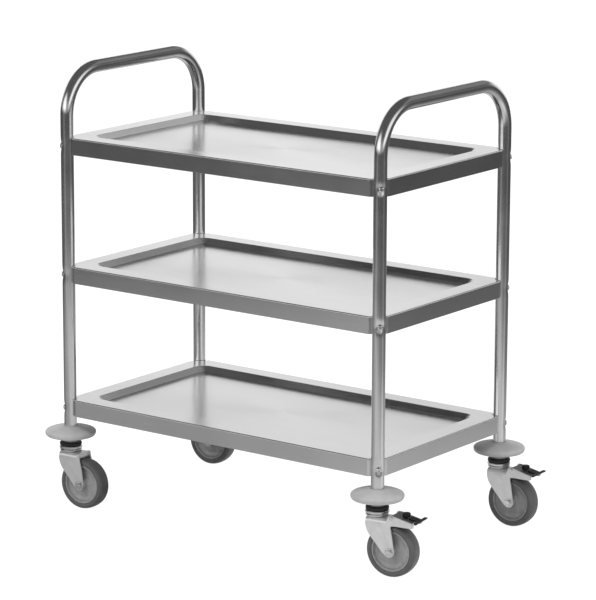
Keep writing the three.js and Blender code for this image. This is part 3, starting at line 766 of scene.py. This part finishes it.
def stem_shape():
    rivet = CROWN_TOP - FORK_SHEET - 0.4
    profile = [
        (0, rivet - 3.5), (5.5, rivet - 3.5), (7.8, rivet - 2.8), (9, rivet - 1.4), (9, rivet - 0.2),
        (8.8, rivet), (STEM_RADIUS, rivet), (STEM_RADIUS, 184), (5, 185), (0, 185),
    ]
    return lathe(profile, 40, closed=False)


def leg_outline(braked):
    """A fork leg seen from the side; a braked fork's leg carries its brake arm."""
    top = CROWN_TOP - SHOULDER - 0.5
    lead = smooth_curve(
        [(-15, top), (-15, 99), (-12.2, 88), (-4.4, 76.2), (7.6, 62.6), (18, 50.5), (24.4, 44.2)])
    eye = arc(TRAIL, WHEEL_RADIUS, 10, 222, 360, 18)
    if not braked:
        trail = smooth_curve([(43.4, 51), (42, 63), (39, 83), (35.4, 99), (33.6, 107)])
        return lead + eye + trail + [(33.6, CROWN_TOP - 1.5), (28, CROWN_TOP - 1.5), (28, top)]
    trail = smooth_curve([(43.4, 51), (42, 63), (39, 83), (36.6, 96)])
    arm = fillet([(36.6, 96), (36, 100.2), (46, ARM_BOTTOM)], [0, 2.5, 0], 4)
    end = arc(ARM_END - ARM_END_RADIUS, ARM_BOTTOM + ARM_END_RADIUS, ARM_END_RADIUS, -90, 62, 10)
    crest = fillet([end[-1], (42, 119.6), (33, 120), (29, CROWN_TOP - 0.5), (27, top)], [0, 8, 4, 2, 0], 5)
    return lead + eye + trail[:-1] + arm + end + crest[1:]


def crown_shape():
    """The crown: a shallow U across the fork with rounded shoulders."""
    half, inner = FORK_HALF - 0.03, FORK_HALF - FORK_SHEET + 0.03
    foot = CROWN_TOP - 15
    outside = [(-half, foot), *arc(-half + SHOULDER, CROWN_TOP - SHOULDER, SHOULDER, 180, 90, 10)]
    outside += [*arc(half - SHOULDER, CROWN_TOP - SHOULDER, SHOULDER, 90, 0, 10), (half, foot)]
    top = CROWN_TOP - FORK_SHEET
    bend = SHOULDER - FORK_SHEET
    inside = [(inner, foot), *arc(inner - bend, top - bend, bend, 0, 90, 8)]
    inside += [*arc(-inner + bend, top - bend, bend, 90, 180, 8), (-inner, foot)]
    return plate(outside + inside, CROWN_FRONT + 0.03, CROWN_REAR, 0.5, plane="YZ")


def leg_rib(side):
    """A shallow stiffening rib pressed outwards down the middle of a leg."""
    outline = fillet(
        [(-3, 103), (15, 103), (31, 64), (26, 62), (5, 88)], [3, 3, 2.5, 2.5, 6], 4, closed=True)
    skin = FORK_HALF * side
    y0, y1 = sorted((skin - 0.6 * side, skin + 0.7 * side))
    return plate(outline, y0, y1, 0.65, 3)


def fork_shape(braked):
    outline = leg_outline(braked)
    inside = FORK_HALF - FORK_SHEET
    near = plate(outline, -FORK_HALF, -inside)
    far = plate(outline, inside, FORK_HALF)
    parts = [far, crown_shape(), leg_rib(-1), leg_rib(1)]
    if not braked:
        side = inside + 1
        corners = [(-side, 102.5), (side, 102.5), (side, 112), (-side, 112)]
        flange = fillet(corners, [1.5] * 4, 3, closed=True)
        parts.append(plate(flange, CROWN_REAR - FORK_SHEET, CROWN_REAR - 0.05, 0.5, plane="YZ"))
    body = boolean(near, parts, "UNION")
    king_pin = drill(STEM_HOLE, 100, 120)
    axle = moved(drill(AXLE_HOLE, -30, 30, "Y"), TRAIL, 0, WHEEL_RADIUS)
    holes = [king_pin, axle]
    if braked:
        holes.append(moved(drill(PIN_HOLE, -30, 30, "Y", 24), LEVER_PIN[0], 0, LEVER_PIN[1]))
    return boolean(body, holes, "DIFFERENCE")


def moved(shape, x, y, z):
    verts, faces = shape
    return [(a + x, b + y, c + z) for a, b, c in verts], faces


def axle_bolt_shape():
    """Hexagon head with a washer face, plain shank, threaded end."""
    face = -FORK_HALF - FIT_GAP
    profile = [
        (0, face - 4.6), (2.6, face - 4.6), (3.2, face - 5.2), (5.6, face - 5.2), (6.9, face - 4.5, "hex"),
        (7.1, face - 1.2, "hex"), (6.6, face - 0.9), (8.4, face - 0.9), (8.6, face - 0.6), (8.6, face),
        (AXLE_RADIUS, face),
    ]
    thread = [(AXLE_RADIUS, 20.0)]
    for i in range(8):
        thread += [(3.45, 20.5 + i), (AXLE_RADIUS, 21.0 + i)]
    return lathe(profile + thread + [(3.2, 28.9), (0, 28.9)], 48, "Y", closed=False)


def axle_nut_shape():
    face = FORK_HALF + FIT_GAP
    profile = [
        (AXLE_HOLE, face), (8.4, face), (8.6, face + 0.6), (8.4, face + 0.9), (6.6, face + 0.9),
        (7.1, face + 1.2, "hex"), (7.1, face + 5, "hex"), (5.8, face + 5.8), (5.2, face + 6.2),
        (AXLE_HOLE, face + 5.8),
    ]
    return lathe(profile, 48, "Y")


def mirror_profile(half):
    """A closed profile from the half of it at positive y, listed from its bore outwards."""
    return [(r, -y) for r, y in half] + half[::-1]


def wheel_shape():
    """Wheel centre: hub, bowl-shaped web with a ring step, and a lip inside the tyre."""
    half = fillet(
        [(4.4, 16.5), (10.4, 16.5), (11.6, 8.2), (16, 6.2), (26, 6.0), (33.4, 8.6), (36.2, 13.2),
         (RIM_RADIUS, 13.2), (RIM_RADIUS, 11)],
        [0, 1.2, 3, 3, 8, 4, 0.8, 0.7, 0], 4)
    return lathe(mirror_profile(half), 112, "Y")


def tyre_shape():
    """Tyre: raised bead at the wheel centre, soft side wall, crowned tread."""
    half = fillet(
        [(TYRE_BORE, 10), (TYRE_BORE, 13.9), (41, 14.4), (42, 15), (46, 14.8), (48.8, 11.6), (49.7, 6),
         (WHEEL_RADIUS, 0)],
        [0, 0.7, 0.8, 1.2, 3.5, 3, 4, 0], 4)
    return lathe(mirror_profile(half), 128, "Y")


# ---- brakes -----------------------------------------------------------------------------------

def lever_top(x):
    return LEVER_PIN[1] + KNUCKLE - LEVER_DROP * (x - LEVER_PIN[0]) / (LEVER_END - LEVER_PIN[0])


def lever_shape():
    """A strip rolled into a knuckle round its pin, with holes for the pin and the adjusting screw."""
    x, z = LEVER_PIN
    outline = arc(x, z, KNUCKLE, 90, 387, 24)
    outline += [(LEVER_END, lever_top(LEVER_END) - LEVER_SHEET), (LEVER_END, lever_top(LEVER_END))]
    strip = plate(outline, -LEVER_HALF, LEVER_HALF, 0.4)
    pin = moved(drill(PIN_HOLE, -30, 30, "Y", 24), x, 0, z)
    screw = moved(drill(SCREW_HOLE, 90, 130, segments=24), BRAKE_SCREW_X, 0, 0)
    return boolean(strip, [pin, screw], "DIFFERENCE")


def brake_pin_shape():
    start = FORK_HALF + FIT_GAP
    end = start + 1.5
    half = [(2, start), (3.7, start), (4, start + 0.3), (3.9, end - 0.6), (3.2, end - 0.1), (0, end)]
    return lathe([(r, -y) for r, y in half[::-1]] + half, 32, "Y", closed=False)


def brake_screw_shape():
    """Adjusting screw: ribbed knob on top, rubber-tipped foot over the tyre."""
    knob = lever_top(BRAKE_SCREW_X - KNOB_RADIUS) + FIT_GAP
    crown = knob + KNOB_HEIGHT
    foot = BRAKE_FOOT
    under = lever_top(BRAKE_SCREW_X) - LEVER_SHEET
    profile = [
        (0, foot), (4.2, foot), (4.9, foot + 0.6), (5, foot + 1.4), (5, foot + 4), (4.4, foot + 4.6),
        (3.4, foot + 5), (3, under - 4.6), (3, knob), (6.6, knob), (7.3, knob + 0.5),
        (KNOB_RADIUS, knob + 1.4), (KNOB_RADIUS, crown - 2.4), (7.2, crown - 1.3), (6.2, crown - 0.4),
        (4.4, crown), (0, crown),
    ]
    verts, faces = lathe(profile, 72, closed=False)
    grip = list(verts)
    for i, (x, y, z) in enumerate(grip):
        if knob + 1 < z < crown - 1.2 and math.hypot(x, y) > KNOB_RADIUS - 0.5:
            cut = 1 - 0.05 * max(0.0, math.cos(12 * math.atan2(y, x)))
            grip[i] = (x * cut, y * cut, z)
    return grip, faces


def pedal_shape():
    """Foot pedal: a tongue on the lever and a wide toe plate with its outer edge turned up."""
    start = BRAKE_SCREW_X + KNOB_RADIUS + 1
    inner, outer, sheet = PEDAL_INNER, PEDAL_OUTER, PEDAL_SHEET

    def rest(x):
        return lever_top(x) + FIT_GAP

    lap = inner + 2
    tongue = [(start, rest(start)), (lap, rest(lap)), (lap, rest(lap) + sheet), (start, rest(start) + sheet)]
    lip = rest(outer) + PEDAL_LIP
    toe = fillet(
        [(inner, rest(inner)), (outer - 2.5, rest(outer - 2.5)), (outer, lip), (outer - 2.4, lip + 0.6),
         (outer - 4.4, rest(outer - 4.4) + sheet), (inner, rest(inner) + sheet)],
        [0.6, 1.5, 0.9, 0.9, 0.8, 0.6], 4, closed=True)
    return boolean(plate(tongue, -8, 8, 0.5), [plate(toe, -24, 24, 0.8, 4)], "UNION")


def brakes(corner, place):
    body = f"brake_{corner}"
    fork = f"castor_{corner}_swivel"
    shift = Matrix.Translation((BRAKE_SCREW_X * MM, 0, 0))
    # The strip's zinc carries painted shade: its dark tone stands in for shade on the strip.
    piece(f"{body}_strip", LEVER, ZINC_PAINTED_SHADE, body, [f"{body}_lever"], place)
    piece(f"{body}_toe", PEDAL, BLACK, body, [f"{body}_pedal"], place)
    piece(f"{body}_knob", brake_screw_shape(), BLACK, body, [f"{body}_screw"], place @ shift)
    hinge = place @ Matrix.Translation((LEVER_PIN[0] * MM, 0, LEVER_PIN[1] * MM))
    piece(f"{body}_rivet", brake_pin_shape(), BRIGHT, fork, [f"{body}_pin"], hinge)


def castor(corner):
    still = castor_place(corner, turned=False)
    place = castor_place(corner, turned=True)
    hub = place @ Matrix.Translation((TRAIL * MM, 0, WHEEL_RADIUS * MM))
    name = f"castor_{corner}"
    swivel, roller = f"{name}_swivel", f"{name}_roller"
    piece(f"buffer_{corner}_disc", buffer_shape(), BUFFER_GREY, "trolley_frame",
          [f"buffer_{corner}"], still)
    for part, (profile, material) in head_shapes().items():
        shape = lathe(profile, 96)
        piece(f"{name}_{part}", shape, material, "trolley_frame", [f"{name}_head"], still)
    piece(f"{name}_king_pin", stem_shape(), BRIGHT, "trolley_frame", [f"{name}_stem"], still)
    piece(f"{name}_legs", FORK[corner in BRAKED], ZINC, swivel, [f"{name}_fork"], place, 28)
    piece(f"{name}_bolt", axle_bolt_shape(), BRIGHT, swivel, [f"{name}_axle_bolt"], hub)
    piece(f"{name}_nut", axle_nut_shape(), BRIGHT, swivel, [f"{name}_axle_nut"], hub)
    piece(f"{name}_centre", wheel_shape(), WHEEL_GREY, roller, [f"{name}_wheel"], hub)
    piece(f"{name}_tread", tyre_shape(), TYRE_GREY, roller, [f"{name}_tyre"], hub)
    if corner in BRAKED:
        brakes(corner, place)


# ---- studio -----------------------------------------------------------------------------------

CAMERA_YAW = 36.4983
CAMERA_PITCH = -12.6761
CAMERA_ROLL = 0.2113
CAMERA_FROM_POSTS = Vector((3.556133, -4.758729, 1.766311))
LENS = 188.597


def camera():
    yaw, pitch, roll = (math.radians(a) for a in (CAMERA_YAW, CAMERA_PITCH, CAMERA_ROLL))
    ahead = Vector((-math.sin(yaw) * math.cos(pitch), math.cos(yaw) * math.cos(pitch), math.sin(pitch)))
    level = Vector((math.cos(yaw), math.sin(yaw), 0))
    above = level.cross(ahead)
    right = level * math.cos(roll) + above * math.sin(roll)
    up = above * math.cos(roll) - level * math.sin(roll)
    data = bpy.data.cameras.new("camera")
    data.lens = LENS
    data.sensor_width = 36.0
    data.clip_start, data.clip_end = 0.1, 200.0
    obj = bpy.data.objects.new("camera", data)
    bpy.context.scene.collection.objects.link(obj)
    middle = sum((Vector((*POST[c], 0)) for c in CORNERS), Vector()) / 4 * MM
    turn = Matrix((right, up, -ahead)).transposed().to_4x4()
    obj.matrix_world = Matrix.Translation(middle + CAMERA_FROM_POSTS) @ turn
    bpy.context.scene.camera = obj


def area_light(name, place, aim, size, power):
    """A rectangular lamp that no reflection shows."""
    data = bpy.data.lights.new(name, "AREA")
    data.shape, data.size, data.size_y, data.energy = "RECTANGLE", size[0], size[1], power
    obj = bpy.data.objects.new(name, data)
    bpy.context.scene.collection.objects.link(obj)
    obj.location = place
    obj.rotation_euler = (Vector(aim) - Vector(place)).to_track_quat("-Z", "Y").to_euler()
    obj.visible_camera = False
    obj.visible_glossy = False


def heading(degrees):
    """Level direction, measured like the camera's yaw."""
    a = math.radians(degrees)
    return (-math.sin(a), math.cos(a), 0.0)


# The studio's two lamps stand behind the camera, to its left and right.
KEY_HEADING = CAMERA_YAW + 180 - 52
FILL_HEADING = CAMERA_YAW + 180 + 60

# Glows in the reflected sky: heading, where each fades in sideways (cosines), where it fades in and then
# out going up (sines), and its strength.
GLOWS = (
    (KEY_HEADING, (0.72, 0.93), (0.0, 0.16), (0.52, 0.72), 1.15),
    (FILL_HEADING, (0.72, 0.93), (0.0, 0.16), (0.52, 0.72), 0.95),
    # A dim patch high to the right behind the trolley, which the left tray walls mirror.
    (CAMERA_YAW - 54, (0.60, 0.78), (0.38, 0.48), (0.64, 0.76), 0.12),
    # A patch above the backdrop to the left, which the trays mirror when they are seen from higher up.
    (CAMERA_YAW + 17, (0.85, 0.895), (0.25, 0.36), (0.50, 0.62), 0.50),
)

BACKDROP_STRENGTH = 0.92
DAYLIGHT = 0.85


def glow(tree, direction, height, patch):
    """One soft patch of light in the reflected sky."""
    angle, across, over, under, strength = patch
    sideways = smoothstep(tree, dot(tree, direction, heading(angle)), *across)
    above = smoothstep(tree, height, *over)
    below = smoothstep(tree, height, *under, 1.0, 0.0)
    return times(tree, times(tree, sideways, above), times(tree, below, strength))


def reflected_sky(tree):
    """A bright backdrop behind the trolley, a dimmer one opposite, a dark room, and the glows."""
    direction = add_node(tree, "ShaderNodeTexCoord").outputs["Generated"]
    height = add_node(tree, "ShaderNodeSeparateXYZ", {0: direction}).outputs[2]
    facing = dot(tree, direction, heading(CAMERA_YAW))
    wall = smoothstep(tree, height, 0.20, 0.44, 1.0, 0.0)
    backdrop = times(tree, smoothstep(tree, facing, 0.40, 0.82), wall)
    opposite = times(tree, smoothstep(tree, facing, -0.85, -0.35, 0.30, 0.0), wall)
    room = smoothstep(tree, height, 0.0, 0.9, 0.13, 0.10)
    sky = plus(tree, plus(tree, times(tree, backdrop, BACKDROP_STRENGTH), opposite), room)
    for patch in GLOWS:
        sky = plus(tree, sky, glow(tree, direction, height, patch))
    return sky


def world():
    """White for the camera, even daylight for diffuse surfaces, and the studio's sky for reflections."""
    scene = bpy.context.scene
    scene.world = bpy.data.worlds.new("studio")
    scene.world.use_nodes = True
    tree = scene.world.node_tree
    tree.nodes.clear()
    path = add_node(tree, "ShaderNodeLightPath").outputs
    soft = times(tree, path["Is Diffuse Ray"], DAYLIGHT)
    glossy = times(tree, path["Is Glossy Ray"], reflected_sky(tree))
    total = plus(tree, plus(tree, soft, glossy), path["Is Camera Ray"])
    background = add_node(tree, "ShaderNodeBackground", {"Color": (1, 1, 1, 1), "Strength": total})
    output = add_node(tree, "ShaderNodeOutputWorld")
    tree.links.new(background.outputs[0], output.inputs["Surface"])


# Shaded parts of the floor: heading, where the shade starts and is full (as a cosine), and how deep it is.
# The front skirts mirror the first, the right skirts the second, the left edges of the posts the third.
FLOOR_SHADES = (
    (CAMERA_YAW + 107, 0.70, 0.94, 0.42),
    (CAMERA_YAW - 73, 0.70, 0.94, 0.25),
    (CAMERA_YAW + 58, 0.84, 0.96, 0.62),
)

# Lamp light lying on the floor, seen in reflections: heading and strength.
FLOOR_STREAKS = ((KEY_HEADING, 1.1), (FILL_HEADING, 0.8))

# The floor glows in reflections as a painted pool of light that darkens outwards: distance as a share of
# FLOOR_REACH, and grey.
FLOOR_REACH = 5.0
FLOOR_GLOW_GREYS = (
    (0.0, 0.60), (0.28, 0.66), (0.36, 0.50), (0.44, 0.26), (0.58, 0.15), (0.74, 0.10), (1.0, 0.085),
)
POOL_CENTRE = (-0.35, -0.35, 0)

FLOOR_HALF_SIZE = 60.0
PAPER = 0.82
# The camera sees the floor as this strong a white, with this share of real shadow mixed in.
SEEN_WHITE = 1.14
SEEN_SHADOW = 0.16


def floor_ramp(tree, far):
    """Painted light of the floor as reflections see it: a grey at a distance from POOL_CENTRE."""
    ramp = add_node(tree, "ShaderNodeValToRGB", {0: op(tree, "DIVIDE", far, FLOOR_REACH)})
    elements = ramp.color_ramp.elements
    elements.remove(elements[1])
    for i, (at, value) in enumerate(FLOOR_GLOW_GREYS):
        stop = elements[0] if i == 0 else elements.new(at)
        stop.position = at
        stop.color = grey(value)
    return ramp.outputs[0]


def floor_gain(tree, spot, far):
    """Strength of the reflected floor: the lamps' streaks on it, less its shades."""
    away = add_node(tree, "ShaderNodeVectorMath", {0: spot}, operation="NORMALIZE").outputs[0]
    key, fill = (
        smoothstep(tree, dot(tree, away, heading(angle)), 0.955, 0.998, 0.0, strength)
        for angle, strength in FLOOR_STREAKS
    )
    spread = smoothstep(tree, far, 1.2, 2.2, 0.15, 1.0)
    gain = plus(tree, times(tree, plus(tree, key, fill), spread), 1.0)
    near = smoothstep(tree, far, 2.3, 3.1, 1.0, 0.0)
    for angle, start, end, dimming in FLOOR_SHADES:
        shade = smoothstep(tree, dot(tree, away, heading(angle)), start, end, 0.0, dimming)
        gain = times(tree, gain, op(tree, "SUBTRACT", 1.0, times(tree, shade, near)))
    return gain


def floor_material():
    """White with a faint shadow to the camera, paper to diffuse light, and to reflections a glowing floor
    with painted light and shade.
    """
    material = bpy.data.materials.new("studio_floor")
    material.use_nodes = True
    tree = material.node_tree
    tree.nodes.clear()
    spot = add_node(tree, "ShaderNodeNewGeometry").outputs["Position"]
    from_centre = {0: spot, 1: POOL_CENTRE}
    offset = add_node(tree, "ShaderNodeVectorMath", from_centre, operation="SUBTRACT").outputs[0]
    far = add_node(tree, "ShaderNodeVectorMath", {0: offset}, operation="LENGTH").outputs["Value"]
    colours = {"Color": floor_ramp(tree, far), "Strength": floor_gain(tree, spot, far)}
    reflected = add_node(tree, "ShaderNodeEmission", colours).outputs[0]
    paper = add_node(tree, "ShaderNodeBsdfDiffuse", {"Color": grey(PAPER)}).outputs[0]
    white = add_node(tree, "ShaderNodeEmission", {"Color": grey(1.0), "Strength": SEEN_WHITE}).outputs[0]
    seen = add_node(tree, "ShaderNodeMixShader", {0: SEEN_SHADOW, 1: white, 2: paper}).outputs[0]
    path = add_node(tree, "ShaderNodeLightPath").outputs
    lit = add_node(tree, "ShaderNodeMixShader", {0: path["Is Glossy Ray"], 1: paper, 2: reflected}).outputs[0]
    both = add_node(tree, "ShaderNodeMixShader", {0: path["Is Camera Ray"], 1: lit, 2: seen}).outputs[0]
    output = add_node(tree, "ShaderNodeOutputMaterial")
    tree.links.new(both, output.inputs["Surface"])
    return material


def floor():
    """A large pale floor."""
    half = FLOOR_HALF_SIZE
    outline = [(-half, -half, 0), (half, -half, 0), (half, half, 0), (-half, half, 0)]
    mesh = bpy.data.meshes.new("studio_floor")
    mesh.from_pydata(outline, [], [(0, 1, 2, 3)])
    mesh.materials.append(floor_material())
    obj = bpy.data.objects.new("studio_floor", mesh)
    bpy.context.scene.collection.objects.link(obj)


def lights():
    target = (0, 0, 0.4)
    for name, angle, height, distance, size, power in (
        ("key", KEY_HEADING, 2.3, 3.4, (1.0, 1.6), 60),
        ("fill", FILL_HEADING, 1.9, 3.4, (0.9, 1.6), 60),
    ):
        level = Vector(heading(angle)) * distance
        area_light(name, (level.x, level.y, height), target, size, power)
    area_light("overhead", (-0.2, -0.3, 3.4), (0, 0, 0), (2.6, 2.2), 85)


# ---- everything -------------------------------------------------------------------------------

FORK = {braked: fork_shape(braked) for braked in (False, True)}
LEVER = lever_shape()
PEDAL = pedal_shape()

end_frame("end_frame_left", ("fl", "rl"))
end_frame("end_frame_right", ("fr", "rr"))
shelves()
screws()
for corner_name in CORNERS:
    castor(corner_name)

camera()
lights()
world()
floor()
bpy.context.scene.view_settings.view_transform = "Standard"
